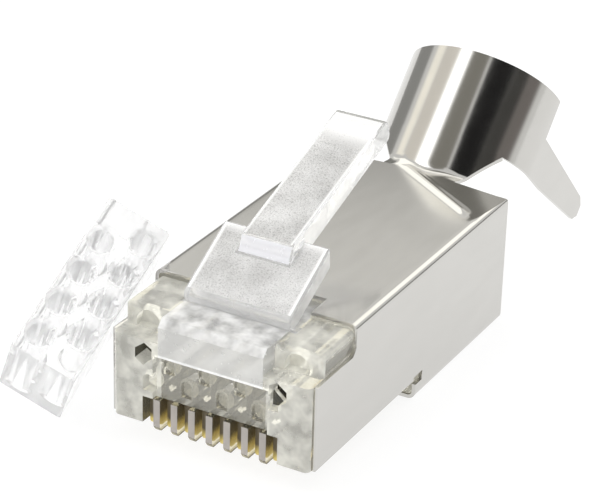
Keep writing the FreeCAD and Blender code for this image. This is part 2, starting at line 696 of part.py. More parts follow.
def fold_solid(name, depth, margin):
    """Everything below the roof's rear end and the tail that rises from it.

    The surface is lowered by a depth, and the other sides are grown by a margin, so that the
    difference of two such solids leaves a folded sheet.
    """
    rear = "<shield_rear> %+.2f" % margin
    shoulder = "<roof_shoulder> %+.2f" % margin
    taper = "<roof_taper_end> %+.2f" % margin
    left, right = ("<neck_%s> %+.2f" % (side, margin) for side in ("left", "right"))
    front = "<shield_rear> - <fold_lap> - %.2f" % margin
    reach = "<fold_reach> %+.2f" % margin
    height = "<fold_grip> + 2 * %.2f" % margin
    plan = new_body(name + "_plan")
    view = outline(plan, name + "_plan_view", "XY_Plane", [
        ("-(%s)" % shoulder, front), (shoulder, front), (shoulder, rear), (right, taper),
        (right, reach), ("-(%s)" % left, reach), ("-(%s)" % left, taper),
        ("-(%s)" % shoulder, rear)], offset="<shield_top> - %.2f - (%s)" % (depth, height))
    extrude(plan, "Pad", name + "_slab", view, height)
    flat = subtract(name + "_flat", plan, [crease_block(name + "_crease", depth)])
    rise = doc.addObject("Part::Box", name + "_rise")
    grip = cell("fold_grip") + margin
    rise.Length = cell("neck_left") + cell("neck_right") + 2 * margin
    rise.Width = cell("fan_start") + grip + margin
    rise.Height = grip
    corner = Vector(-cell("neck_left") - margin, -grip, -grip - depth)
    rise.Placement = ferrule_place() * Placement(corner, Rotation())
    solid = doc.addObject("Part::MultiFuse", name)
    solid.Shapes = [flat, rise]
    return solid


def crescent(body, name, offset):
    """Thin arched section of the ferrule's barrel, at the front root of the ears."""
    radius = "<ferrule_radius>"
    inner = "(<ferrule_radius> - <sheet_gauge>)"
    drop = "(<ferrule_radius> - <fan_drop>)"
    half = "sqrt(%s * %s - %s * %s)" % (radius, radius, drop, drop)
    sketch = new_sketch(body, name, "XZ_Plane", offset)
    big, small, level, reach = (float(sketch.evalExpression(bind(text)))
                                for text in (radius, inner, drop, half))
    centre = Vector(0, -big, 0)
    lean = math.atan2(level, reach)
    arcs = [Part.ArcOfCircle(Part.Circle(centre, Vector(0, 0, 1), size), lean, math.pi - lean)
            for size in (small, big)]
    sketch.addGeometry(arcs[0], False)
    sketch.addGeometry(Part.LineSegment(arcs[0].StartPoint, arcs[1].StartPoint), False)
    sketch.addGeometry(arcs[1], False)
    sketch.addGeometry(Part.LineSegment(arcs[1].EndPoint, arcs[0].EndPoint), False)
    for first, first_end, second, second_end in ((0, 1, 1, 1), (1, 2, 2, 1), (2, 2, 3, 1),
                                                 (3, 2, 0, 2)):
        sketch.addConstraint(Sketcher.Constraint("Coincident", first, first_end,
                                                 second, second_end))
    pin_point(sketch, 2, 3, "0", "-" + radius)
    pin_point(sketch, 2, 1, half, "-<fan_drop>")
    pin_point(sketch, 2, 2, "-" + half, "")
    sketch.addConstraint(Sketcher.Constraint("Coincident", 0, 3, 2, 3))
    index = sketch.addConstraint(Sketcher.Constraint("Radius", 0, small))
    sketch.setExpression("Constraints[%d]" % index, bind(inner))
    for line in (1, 3):
        sketch.addConstraint(Sketcher.Constraint("PointOnObject", 2, 3, line))
    return sketch


def make_fan():
    """Piece of the tail that spreads and arches from the flat neck into the barrel."""
    fan = new_body("tail_fan")
    flat = rectangle(fan, "fan_start_view", "XZ_Plane", "-<neck_left>", "<neck_right>",
                     "-<sheet_gauge>", "0", offset="-(<fan_start>)")
    arch = crescent(fan, "fan_end_view", "-<ear_front_root>")
    loft = fan.newObject("PartDesign::AdditiveLoft", "fan")
    loft.Profile = flat
    loft.Sections = [arch]
    loft.Ruled = True
    doc.recompute()
    fan.Placement = ferrule_place()
    return fan


def make_shield():
    """The shield, one stamping: sleeve, folded neck, fan and crimp ferrule."""
    gauge = cell("sheet_gauge")
    fold = subtract("folded_neck", fold_solid("fold_outside", 0.0, 0.0),
                    [fold_solid("fold_inside", gauge, FOLD_MARGIN)])
    shield = doc.addObject("Part::MultiFuse", "shield")
    shield.Shapes = [make_sleeve(), fold, make_fan(), make_ferrule()]
    shield.Refine = True
    shield.Label = "shield"
    lower(shield)
    return shield


# --------------------------------------------------------------------------- load bar
def bar_place():
    """Lean the bar: its rows, length and bores follow three square directions."""
    rows = Vector(BAR_AXIS_ROWS).normalize()
    length = (BAR_AXIS_LENGTH - rows * BAR_AXIS_LENGTH.dot(rows)).normalize()
    bores = rows.cross(length)
    turn = Rotation(length, bores, rows, "XYZ")
    corner = Vector(-cell("bar_length") / 2, 0, cell("bar_height") / 2)
    foot = Vector(BAR_FOOT.x, BAR_FOOT.y, cell("shield_foot") - cell("axis_height"))
    return Placement(foot - turn.multVec(corner), turn)


def make_load_bar():
    """Small block with two staggered rows of wire bores, each with a flared mouth."""
    body = new_body("load_bar")
    face = rectangle(body, "bar_view", "XZ_Plane", "-<bar_length> / 2", "<bar_length> / 2",
                     "-<bar_height> / 2", "<bar_height> / 2")
    extrude(body, "Pad", "bar", face, "<bar_depth>", backwards=True)
    for row, height, first in (("low", "-<bar_row>", FIRST_CONTACT),
                               ("high", "<bar_row>", "-2.5 * <pitch_step>")):
        bore = circle(body, row + "_bore_view", "XZ_Plane", (first, height), "<bar_bore>")
        pocket = extrude(body, "Pocket", row + "_bore", bore, "<bar_depth>")
        repeat(body, row + "_bores", pocket, "2 * <pitch_step>", CHANNELS_PER_ROW)
    soften(body, "Chamfer", "bore_mouths", lambda centre: True, "<bar_mouth>", search=rims_where)
    half = cell("bar_height") / 2
    soften(body, "Fillet", "bar_edges",
           lambda middle, way: near(abs(way.x), 1) and near(abs(middle.z), half), "<bar_edge>")
    body.Placement = bar_place()
    return body


# --------------------------------------------------------------------------- build and write
def check_document():
    """Stop if any object failed to build."""
    for item in doc.Objects:
        if "Invalid" in item.State or "Error" in item.State:
            raise RuntimeError("%s did not build: %s" % (item.Name, item.State))


def write_parts(items):
    """Check each sub-part's solid and write it to its own STEP file."""
    os.makedirs("parts", exist_ok=True)
    for item in items:
        shape = item.Shape
        if shape.isNull() or not shape.isValid():
            raise RuntimeError(item.Label + " has no valid shape")
        shape.exportStep("parts/%s.step" % item.Label)
        print("%-12s solids %d  volume %8.3f" % (item.Label, len(shape.Solids), shape.Volume))


sub_parts = [make_housing(), make_latch_lever(), make_shield()]
sub_parts += [make_contact(number) for number in range(1, CONTACT_COUNT + 1)]
sub_parts.append(make_load_bar())
doc.recompute()
check_document()
write_parts(sub_parts)
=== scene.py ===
"""Looks of the shielded modular plug: finishes, softened edges, studio and camera.

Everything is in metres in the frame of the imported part: X across the plug, +Y back to the cable,
+Z up on the latch side, with the origin in the middle of the mating face.
"""

import logging
import math
from dataclasses import dataclass, field
from enum import IntEnum

import bmesh
import bpy
from mathutils import Matrix, Vector


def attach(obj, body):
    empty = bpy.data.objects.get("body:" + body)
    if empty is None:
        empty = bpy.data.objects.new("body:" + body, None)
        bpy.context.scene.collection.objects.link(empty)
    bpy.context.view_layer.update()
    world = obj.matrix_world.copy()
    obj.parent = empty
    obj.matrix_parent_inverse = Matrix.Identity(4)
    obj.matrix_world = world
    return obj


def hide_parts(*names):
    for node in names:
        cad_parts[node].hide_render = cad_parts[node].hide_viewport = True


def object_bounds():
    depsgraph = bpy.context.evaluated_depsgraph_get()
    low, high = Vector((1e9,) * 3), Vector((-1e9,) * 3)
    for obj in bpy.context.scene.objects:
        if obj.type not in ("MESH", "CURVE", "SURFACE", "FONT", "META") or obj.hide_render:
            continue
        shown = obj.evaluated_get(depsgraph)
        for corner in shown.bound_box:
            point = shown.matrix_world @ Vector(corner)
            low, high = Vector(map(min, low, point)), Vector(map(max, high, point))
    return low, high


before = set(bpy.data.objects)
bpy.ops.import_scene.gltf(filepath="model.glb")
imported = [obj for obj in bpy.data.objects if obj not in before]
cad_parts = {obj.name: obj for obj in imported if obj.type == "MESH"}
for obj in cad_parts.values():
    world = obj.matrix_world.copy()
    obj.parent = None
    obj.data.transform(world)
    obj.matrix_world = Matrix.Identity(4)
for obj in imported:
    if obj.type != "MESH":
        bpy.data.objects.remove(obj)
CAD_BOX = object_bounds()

MM = 0.001
PLUG_BODY = "plug_body"
LATCH_BODY = "latch"
FINE_DETAIL = 3.0               # octaves of noise in the grain of sheet, blades and tool marks
MERGE_GAP = 0.0015 * MM         # corners nearer than this are one corner
SHORTEST_EDGE = 0.001 * MM
CUT_TOLERANCE = 0.0005 * MM     # corners nearer than this to a cutting plane lie in it
FLAT_DEGREES = 0.5              # faces that meet at less than this are one face
AREA_WEIGHT = 100               # lets the larger faces alone set the shading of a corner
Colour = tuple[float, float, float]
log = logging.getLogger("modular_plug")


# ------------------------------------------------------------------------------------- finishes
class Nodes:
    """The nodes of a material or of the surroundings, with short ways to add and join them."""

    def __init__(self, owner: bpy.types.Material | bpy.types.World) -> None:
        """Take over the owner's node tree and empty it.

        Args:
            owner: The material or the surroundings.
        """
        owner.use_nodes = True
        self.tree = owner.node_tree
        self.tree.nodes.clear()

    def add(self, kind: str, **settings: object) -> bpy.types.Node:
        """Add a node and set its properties.

        Args:
            kind: Blender's name of the node type.
            **settings: Properties of the node, by name.

        Returns:
            The new node.
        """
        node = self.tree.nodes.new(kind)
        for key, value in settings.items():
            setattr(node, key, value)
        return node

    def join(self, source: bpy.types.NodeSocket, target: bpy.types.NodeSocket) -> None:
        """Link an output socket to an input socket."""
        self.tree.links.new(source, target)

    def split(self, vector: bpy.types.NodeSocket) -> bpy.types.bpy_prop_collection:
        """The sockets X, Y and Z of a vector."""
        node = self.add("ShaderNodeSeparateXYZ")
        self.join(vector, node.inputs["Vector"])
        return node.outputs

    def spread(self, value: bpy.types.NodeSocket, low: float, high: float,
               start: float = 0.3, end: float = 0.7, smooth: bool = False
               ) -> bpy.types.NodeSocket:
        """Map a pattern's middle range on to a range of values.

        Args:
            value: The pattern.
            low: Result where the pattern is at start or below.
            high: Result where the pattern is at end or above.
            start: Low end of the pattern's range.
            end: High end of the pattern's range.
            smooth: Whether the change is eased at both ends.

        Returns:
            The socket with the mapped value.
        """
        node = self.add("ShaderNodeMapRange",
                        interpolation_type="SMOOTHSTEP" if smooth else "LINEAR")
        for name, number in (("From Min", start), ("From Max", end), ("To Min", low),
                             ("To Max", high)):
            node.inputs[name].default_value = number
        self.join(value, node.inputs["Value"])
        return node.outputs["Result"]

    def calculate(self, operation: str, *values: bpy.types.NodeSocket | float
                  ) -> bpy.types.NodeSocket:
        """A sum, product or other calculation on sockets and numbers.

        Args:
            operation: Blender's name of the operation.
            *values: What it works on.

        Returns:
            The socket with the result.
        """
        node = self.add("ShaderNodeMath", operation=operation)
        for socket, value in zip(node.inputs, values):
            if isinstance(value, bpy.types.NodeSocket):
                self.join(value, socket)
            else:
                socket.default_value = value
        return node.outputs["Value"]

    def blend(self, share: bpy.types.NodeSocket, low: bpy.types.NodeSocket | Colour,
              high: Colour) -> bpy.types.NodeSocket:
        """Mix two colours.

        Args:
            share: Share of the second colour, from 0 to 1.
            low: The first colour, or the socket that carries it.
            high: The second colour.

        Returns:
            The socket with the mixed colour.
        """
        mix = self.add("ShaderNodeMix", data_type="RGBA")
        if isinstance(low, bpy.types.NodeSocket):
            self.join(low, mix.inputs["A"])
        else:
            mix.inputs["A"].default_value = (*low, 1.0)
        mix.inputs["B"].default_value = (*high, 1.0)
        self.join(share, mix.inputs["Factor"])
        return mix.outputs["Result"]


class Bench(Nodes):
    """A material with a Principled shader and patterns that steer it."""

    def __init__(self, name: str) -> None:
        """Start a plain material.

        Args:
            name: Name of the material.
        """
        self.material = bpy.data.materials.new(name)
        super().__init__(self.material)
        self.shader = self.add("ShaderNodeBsdfPrincipled")
        output = self.add("ShaderNodeOutputMaterial")
        self.join(self.shader.outputs["BSDF"], output.inputs["Surface"])
        self.place = self.add("ShaderNodeTexCoord").outputs["Object"]

    def fix(self, name: str, value: float | Colour) -> None:
        """Give an input of the shader a number or colour that is the same all over."""
        whole = (*value, 1.0) if isinstance(value, tuple) else value
        self.shader.inputs[name].default_value = whole

    def steer(self, name: str, value: bpy.types.NodeSocket) -> None:
        """Let a pattern steer an input of the shader."""
        self.join(value, self.shader.inputs[name])

    def grain(self, size_mm: float, stretch: tuple[float, float, float] = (1, 1, 1),
              detail: float = 2.0) -> bpy.types.NodeSocket:
        """A noise pattern with grains of a real size.

        Args:
            size_mm: Size of one grain in millimetres.
            stretch: How much finer the pattern is along X, Y and Z.
            detail: Octaves of finer noise.

        Returns:
            The socket that carries the pattern's value.
        """
        mapping = self.add("ShaderNodeMapping")
        mapping.inputs["Scale"].default_value = stretch
        self.join(self.place, mapping.inputs["Vector"])
        noise = self.add("ShaderNodeTexNoise")
        noise.inputs["Scale"].default_value = 1.0 / (size_mm * MM)
        noise.inputs["Detail"].default_value = detail
        self.join(mapping.outputs["Vector"], noise.inputs["Vector"])
        return noise.outputs["Fac"]

    def tint(self, value: bpy.types.NodeSocket, low: Colour, high: Colour
             ) -> bpy.types.NodeSocket:
        """Colour the surface between two colours by a pattern.

        Args:
            value: The pattern.
            low: Colour where the pattern is 0.
            high: Colour where the pattern is 1.

        Returns:
            The socket with the colour.
        """
        colour = self.blend(value, low, high)
        self.steer("Base Color", colour)
        return colour

    def relief(self, value: bpy.types.NodeSocket, depth_mm: float) -> None:
        """Raise the surface by a pattern, to a depth in millimetres."""
        bump = self.add("ShaderNodeBump")
        bump.inputs["Strength"].default_value = 1.0
        bump.inputs["Distance"].default_value = depth_mm * MM
        self.join(value, bump.inputs["Height"])
        self.steer("Normal", bump.outputs["Normal"])


@dataclass(frozen=True)
class ClearPlastic:
    """Clear moulded polycarbonate with a slightly wavy, uneven surface."""

    name: str
    light: Colour = (0.98, 0.98, 0.98)
    shade: Colour = (0.92, 0.92, 0.92)
    clarity: tuple[float, float] = (0.6, 0.8)
    polish: float = 0.03
    frost: float = 0.12
    grain_mm: float = 0.30
    wave_mm: float = 0.9
    depth_mm: float = 0.01
    index: float = 1.45
    # emission: painted light that makes the clear plastic look brighter than its lighting does
    glow: float = 0.0

    def make(self) -> bpy.types.Material:
        """Build the material.

        Returns:
            The finished material.
        """
        bench = Bench(self.name)
        bench.fix("IOR", self.index)
        bench.fix("Emission Color", self.light)
        bench.fix("Emission Strength", self.glow)
        wave = bench.grain(self.wave_mm)
        bench.steer("Transmission Weight", bench.spread(wave, *self.clarity))
        bench.tint(bench.spread(wave, 1.0, 0.0), self.light, self.shade)
        bench.steer("Roughness",
                    bench.spread(bench.grain(self.grain_mm), self.polish, self.frost))
        bench.relief(wave, self.depth_mm)
        return bench.material


@dataclass(frozen=True)
class SparkPlastic:
    """Clear polycarbonate moulded against a spark-eroded tool.

    The face is speckled, with a painted highlight strip along both sides and a painted highlight
    towards its end, both lit by emission.
    """

    name: str
    # ramps of the painted highlights: across from the middle, and along from the mating face
    strip_mm: tuple[float, float]
    bright_mm: tuple[float, float]
    light: Colour = (0.97, 0.97, 0.97)
    shade: Colour = (0.50, 0.495, 0.49)
    # emission of the painted highlights
    glow: float = 0.16
    clarity: float = 0.12
    polish: float = 0.20
    frost: float = 0.50
    grain_mm: float = 0.07
    speck: tuple[float, float] = (-0.1, 0.5)
    cloud_mm: float = 1.6
    cloud: float = 0.5
    depth_mm: float = 0.004
    index: float = 1.45

    def make(self) -> bpy.types.Material:
        """Build the material.

        Returns:
            The finished material.
        """
        bench = Bench(self.name)
        bench.fix("IOR", self.index)
        bench.fix("Transmission Weight", self.clarity)
        bench.fix("Emission Color", self.light)
        pattern = bench.grain(self.grain_mm, detail=FINE_DETAIL)
        spot = bench.split(bench.place)
        side = bench.calculate("ABSOLUTE", spot["X"])
        # painted highlights: a strip along both sides and a zone towards the end
        strip = bench.spread(side, 0.0, 1.0, *(edge * MM for edge in self.strip_mm))
        bright = bench.spread(spot["Y"], 0.0, 1.0, *(edge * MM for edge in self.bright_mm))
        painted_highlight = bench.calculate("MAXIMUM", strip, bright)
        cloud = bench.spread(bench.grain(self.cloud_mm), 0.0, self.cloud)
        speckled = bench.calculate("ADD", cloud, bench.spread(pattern, *self.speck))
        bench.tint(bench.calculate("MAXIMUM", speckled, painted_highlight), self.shade, self.light)
        bench.steer("Emission Strength", bench.calculate("MULTIPLY", painted_highlight, self.glow))
        bench.steer("Roughness", bench.spread(pattern, self.polish, self.frost))
        bench.relief(pattern, self.depth_mm)
        return bench.material


@dataclass(frozen=True)
class NickelPlate:
    """Bright nickel plating on rolled sheet."""

    name: str
    light: Colour = (0.60, 0.59, 0.565)
    shade: Colour = (0.585, 0.575, 0.55)
    gloss: float = 0.12
    dull: float = 0.14
    grain_mm: float = 0.8
    stretch: tuple[float, float, float] = (1.0, 0.25, 1.0)
    depth_mm: float = 0.00001

    def make(self) -> bpy.types.Material:
        """Build the material.

        Returns:
            The finished material.
        """
        bench = Bench(self.name)
        bench.fix("Metallic", 1.0)
        rolling = bench.grain(self.grain_mm, self.stretch, FINE_DETAIL)
        bench.tint(bench.spread(rolling, 0.0, 1.0), self.light, self.shade)
        bench.steer("Roughness", bench.spread(rolling, self.gloss, self.dull))
        bench.relief(rolling, self.depth_mm)
        return bench.material


@dataclass(frozen=True)
class GoldPlate:
    """Gold flash on the working edge of a blade, darker higher up with painted shadow."""

    name: str
    gold: Colour = (0.62, 0.50, 0.17)
    # painted shadow: the dark colour that the blade takes higher up
    painted_shadow: Colour = (0.12, 0.10, 0.07)
    gold_top_mm: float = -2.40
    shadow_foot_mm: float = -2.00
    ragged_mm: float = 0.4
    metal: float = 0.7
    # emission: painted light on the blades inside the housing
    glow: float = 0.14
    gloss: float = 0.30
    dull: float = 0.50
    grain_mm: float = 0.25
    stretch: tuple[float, float, float] = (1.0, 1.0, 0.3)
    depth_mm: float = 0.002

    def make(self) -> bpy.types.Material:
        """Build the material.

        Returns:
            The finished material.
        """
        bench = Bench(self.name)
        bench.fix("Metallic", self.metal)
        bench.fix("Emission Strength", self.glow)
        stamping = bench.grain(self.grain_mm, self.stretch, FINE_DETAIL)
        # the blade turns darker higher up: painted shadow with a ragged border
        height = bench.split(bench.place)["Z"]
        ragged = bench.calculate("MULTIPLY_ADD", stamping, self.ragged_mm * MM, height)
        shadowed = bench.spread(ragged, 0.0, 1.0, self.gold_top_mm * MM, self.shadow_foot_mm * MM)
        bench.steer("Emission Color", bench.tint(shadowed, self.gold, self.painted_shadow))
        bench.steer("Roughness", bench.spread(stamping, self.gloss, self.dull))
        bench.relief(stamping, self.depth_mm)
        return bench.material


@dataclass(frozen=True)
class LitPaper:
    """White background paper, lit from behind so that shadows on it stay faint."""

    name: str
    light: Colour = (0.20, 0.20, 0.20)
    shade: Colour = (0.19, 0.19, 0.19)
    glow: float = 0.88
    roughness: float = 0.9
    grain_mm: float = 0.5

    def make(self) -> bpy.types.Material:
        """Build the material.

        Returns:
            The finished material.
        """
        bench = Bench(self.name)
        bench.fix("Roughness", self.roughness)
        bench.fix("Specular IOR Level", 0.0)
        bench.fix("Emission Color", (1.0, 1.0, 1.0))
        bench.fix("Emission Strength", self.glow)
        bench.tint(bench.spread(bench.grain(self.grain_mm), 0.0, 1.0), self.light, self.shade)
        return bench.material


Finish = ClearPlastic | SparkPlastic | NickelPlate | GoldPlate


# ----------------------------------------------------------------------------- work on the meshes
def merged_copy(node: str) -> bmesh.types.BMesh:
    """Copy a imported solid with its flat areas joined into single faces.

    Args:
        node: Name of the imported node.

    Returns:
        The editable mesh.
    """
    bm = bmesh.new()
    bm.from_mesh(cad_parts[node].data)
    bmesh.ops.remove_doubles(bm, verts=bm.verts, dist=MERGE_GAP)
    bmesh.ops.dissolve_degenerate(bm, edges=bm.edges, dist=SHORTEST_EDGE)
    bmesh.ops.dissolve_limit(bm, angle_limit=math.radians(FLAT_DEGREES), verts=bm.verts,
                             edges=bm.edges)
    return bm


def round_edges(bm: bmesh.types.BMesh, edges: list[bmesh.types.BMEdge], width_mm: float,
                rings: int) -> None:
    """Round chosen edges of a mesh.

    Args:
        bm: The mesh.
        edges: Edges to round.
        width_mm: Distance from the edge at which the rounding starts, in millimetres.
        rings: Segments across the rounding.
    """
    bmesh.ops.bevel(bm, geom=edges, offset=width_mm * MM, offset_type="OFFSET", segments=rings,
                    profile=0.5, affect="EDGES", clamp_overlap=True, material=-1)


def part_faces(bm: bmesh.types.BMesh, faces: list[bmesh.types.BMFace], place: Vector,
               normal: Vector) -> None:
    """Part some faces of a mesh along the line where a plane crosses them.

    Args:
        bm: The mesh.
        faces: The faces.
        place: A point of the plane, in metres.
        normal: Direction that the plane looks in.
    """
    parts = set(faces)
    for face in faces:
        parts.update(face.edges)
        parts.update(face.verts)
    bmesh.ops.bisect_plane(bm, geom=list(parts), dist=CUT_TOLERANCE, plane_co=place,
                           plane_no=normal)


# ---------------------------------------------------------------------------------- sub-assemblies
@dataclass
class Piece:
    """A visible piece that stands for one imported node."""

    node: str
    body: str
    slot: str
    finish: Finish
    edge_mm: float
    rings: int = 2
    crease_degrees: float = 28.0

    def form(self, bm: bmesh.types.BMesh) -> None:
        """Round the sharp edges a little, as moulding or stamping does."""
        sharp = [edge for edge in bm.edges if len(edge.link_faces) == 2
                 and edge.calc_face_angle(0.0) > math.radians(self.crease_degrees)]
        round_edges(bm, sharp, self.edge_mm, self.rings)

    def finishes(self) -> list[Finish]:
        """Finishes of the piece's zones, in the order of the zones' numbers."""
        return [self.finish]

    def zone(self, face: bpy.types.MeshPolygon) -> int:
        """Number of the zone that a face belongs to: a plain piece has only one."""
        return 0

    def dress(self, piece: bpy.types.Object) -> None:
        """Give each zone of the piece its finish."""
        for finish in self.finishes():
            piece.data.materials.append(finish.make())
        for face in piece.data.polygons:
            face.material_index = self.zone(face)

    def build(self) -> None:
        """Make the piece, dress it and put it on its body."""
        bm = merged_copy(self.node)
        self.form(bm)
        for face in bm.faces:
            face.smooth = True
        for edge in bm.edges:
            edge.smooth = (len(edge.link_faces) != 2
                           or edge.calc_face_angle(0.0) < math.radians(self.crease_degrees))
        mesh = bpy.data.meshes.new(self.node + "_finished")
        bm.to_mesh(mesh)
        bm.free()
        piece = bpy.data.objects.new(self.node + "_finished", mesh)
        bpy.context.scene.collection.objects.link(piece)
        self.dress(piece)
        normals = piece.modifiers.new("area_normals", "WEIGHTED_NORMAL")
        normals.weight = AREA_WEIGHT
        normals.keep_sharp = True
        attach(piece, self.body)
        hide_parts(self.node)
        log.info("%s: %d faces", piece.name, len(mesh.polygons))


class HousingZone(IntEnum):
    """Zones of the housing, numbered as its finishes are."""

    CLEAR = 0
    RIB_SIDE = 1
    RIB_FRONT = 2
    SATIN = 3
    CHANNEL_SHADE = 4
    CORNER = 5
    BROW_HIGHLIGHT = 6
    SATIN_TOP = 7
    RIB_TOE = 8


@dataclass
class HousingPiece(Piece):
    """The moulded housing, which isn't equally clear everywhere.

    The root block is satin, the contact chamber's ribs are thin and clear, and the walls of the
    wire channels and pockets are darkened with painted shade. Emission paints light on the root
    block, its brow, the corner blocks and the rib fronts, and the ribs' downward faces carry
    painted shade.
    """

    rib_side: ClearPlastic = ClearPlastic("rib_side", clarity=(0.95, 0.98), polish=0.01, frost=0.03,
                                          light=(0.90, 0.85, 0.66), shade=(0.84, 0.78, 0.58),
                                          depth_mm=0.001)
    # rib fronts: emission paints light on them
    rib_front: ClearPlastic = ClearPlastic("rib_front", clarity=(0.50, 0.60), depth_mm=0.003,
                                           light=(0.84, 0.78, 0.73), shade=(0.78, 0.72, 0.67),
                                           glow=0.06)
    # downward faces of the ribs: darker colour, painted shade
    rib_toe: ClearPlastic = ClearPlastic("rib_toe", clarity=(0.80, 0.88), frost=0.05,
                                         light=(0.60, 0.52, 0.30), shade=(0.46, 0.40, 0.22),
                                         depth_mm=0.003)
    # root block: emission paints light on it
    satin: ClearPlastic = ClearPlastic("satin_block", clarity=(0.42, 0.55), frost=0.30,
                                       light=(0.97, 0.97, 0.955), shade=(0.91, 0.91, 0.89),
                                       wave_mm=1.3, depth_mm=0.02, glow=0.08)
    # walls of the wire channels and of the pockets: dark colour, painted shade
    channel_shade: ClearPlastic = ClearPlastic("channel_painted_shade", clarity=(0.75, 0.85),
                                         light=(0.28, 0.27, 0.21), shade=(0.13, 0.125, 0.10))
    # upward faces of the root block and of the latch bed: emission paints light on them
    satin_top: ClearPlastic = ClearPlastic("satin_top", clarity=(0.20, 0.75), frost=0.25,
                                           wave_mm=0.8, depth_mm=0.03, glow=0.13)
    # corner blocks: emission paints light on them
    corner: ClearPlastic = ClearPlastic("corner_block", clarity=(0.45, 0.85), wave_mm=0.9,
                                        light=(0.98, 0.97, 0.90), shade=(0.90, 0.89, 0.81),
                                        depth_mm=0.02, glow=0.19)
    # band under the root block's front: emission paints a highlight on it
    brow: ClearPlastic = ClearPlastic("brow_painted_highlight", clarity=(0.25, 0.70), frost=0.25,
                                      wave_mm=1.0, depth_mm=0.02, glow=0.20)
    # contact chamber and its ribs
    chamber_top_mm: float = -1.10
    chamber_half_mm: float = 3.95
    chamber_depth_mm: float = 6.7
    # root block of the latch, the brow under its front, and the bed behind it
    block_half_mm: float = 3.0
    block_foot_mm: float = 1.30
    block_rear_mm: float = 3.9
    brow_mm: float = 0.13
    brow_lip_mm: float = -0.05
    bed_half_mm: float = 3.3
    bed_low_mm: float = 2.4
    # wire channels, and the corner blocks beside them
    channel_top_mm: float = 1.32
    channel_half_mm: float = 4.2
    channel_front_mm: float = 1.0
    channel_depth_mm: float = 8.0
    shoulder_depth_mm: float = 4.35
    # cored pockets in the front of the corner blocks
    pocket_inner_mm: float = 3.36
    pocket_outer_mm: float = 4.33
    pocket_low_mm: float = 0.62
    pocket_top_mm: float = 1.91
    pocket_depth_mm: tuple[float, float] = (0.1, 1.2)
    # depth behind the mating face of what is parted into zones, and of the mating face itself
    front_mm: float = 0.5
    face_mm: float = 0.2
    # share of a face's normal along an axis from which it counts as looking that way
    toe_down: float = -0.2
    rib_ahead: float = -0.4
    sloping_up: float = 0.3
    level_up: float = 0.5

    def form(self, bm: bmesh.types.BMesh) -> None:
        """Round the edges, and part the root block's faces from the corner blocks'."""
        super().form(bm)
        brow = self.block_foot_mm + self.brow_mm
        for place, normal in (((-self.block_half_mm, 0, 0), (1, 0, 0)),
                              ((self.block_half_mm, 0, 0), (1, 0, 0)),
                              ((0, 0, brow), (0, 0, 1))):
            front = [face for face in bm.faces
                     if face.calc_center_median().y < self.front_mm * MM]
            part_faces(bm, front, Vector([step * MM for step in place]), Vector(normal))

    def finishes(self) -> list[Finish]:
        """Finishes of the housing's zones, in the order of the zones' numbers."""
        return [self.finish, self.rib_side, self.rib_front, self.satin, self.channel_shade, self.corner,
                self.brow, self.satin_top, self.rib_toe]

    def chamber_zone(self, spot: Vector, normal: Vector) -> HousingZone:
        """Zone of a face at the height of the contact chamber.

        Args:
            spot: Middle of the face in millimetres.
            normal: Direction that the face looks in.

        Returns:
            One of the ribs' zones, or the clear body's beside the chamber.
        """
        if abs(spot.x) >= self.chamber_half_mm or spot.y >= self.chamber_depth_mm:
            return HousingZone.CLEAR
        # downward faces of the ribs get the painted shade
        if normal.z < self.toe_down:
            return HousingZone.RIB_TOE
        return HousingZone.RIB_FRONT if normal.y < self.rib_ahead else HousingZone.RIB_SIDE

    def zone(self, face: bpy.types.MeshPolygon) -> HousingZone:
        """Zone of a face.

        Args:
            face: A face of the finished mesh.

        Returns:
            The zone by the face's place and the direction that it looks in.
        """
        spot, normal = face.center / MM, face.normal
        side = abs(spot.x)
        if spot.z < self.chamber_top_mm:
            return self.chamber_zone(spot, normal)
        # the band under the root block's front gets the painted highlight
        if (side < self.block_half_mm and spot.y < self.face_mm
                and self.brow_lip_mm < spot.z - self.block_foot_mm < self.brow_mm):
            return HousingZone.BROW_HIGHLIGHT
        # walls of the pockets that don't look up get painted shade, the rest painted light
        if (self.pocket_inner_mm <= side <= self.pocket_outer_mm
                and self.pocket_depth_mm[0] < spot.y < self.pocket_depth_mm[1]
                and self.pocket_low_mm < spot.z < self.pocket_top_mm):
            return HousingZone.CHANNEL_SHADE if normal.z < self.sloping_up else HousingZone.CORNER
        # root block: painted light, more of it on its upward faces
        if (side < self.block_half_mm and spot.z > self.block_foot_mm
                and spot.y < self.block_rear_mm):
            return HousingZone.SATIN_TOP if normal.z > self.sloping_up else HousingZone.SATIN
        # bed behind the root block: upward faces get painted light
        if side < self.bed_half_mm and spot.z > self.bed_low_mm and normal.z > self.level_up:
            return HousingZone.SATIN_TOP
        # wire channels: painted shade
        if (side < self.channel_half_mm and spot.z < self.channel_top_mm
                and self.channel_front_mm < spot.y < self.channel_depth_mm):
            return HousingZone.CHANNEL_SHADE
        # corner blocks: painted light
        if side > self.block_half_mm and spot.y < self.shoulder_depth_mm:
            return HousingZone.CORNER
        return HousingZone.CLEAR


class LatchZone(IntEnum):
    """Zones of the latch lever, numbered as its finishes are."""

    CLEAR = 0
    PLATE_TOP = 1
    TAB_TOP = 2
    STEP = 3
    END = 4
    SIDE = 5
    UNDERSIDE = 6


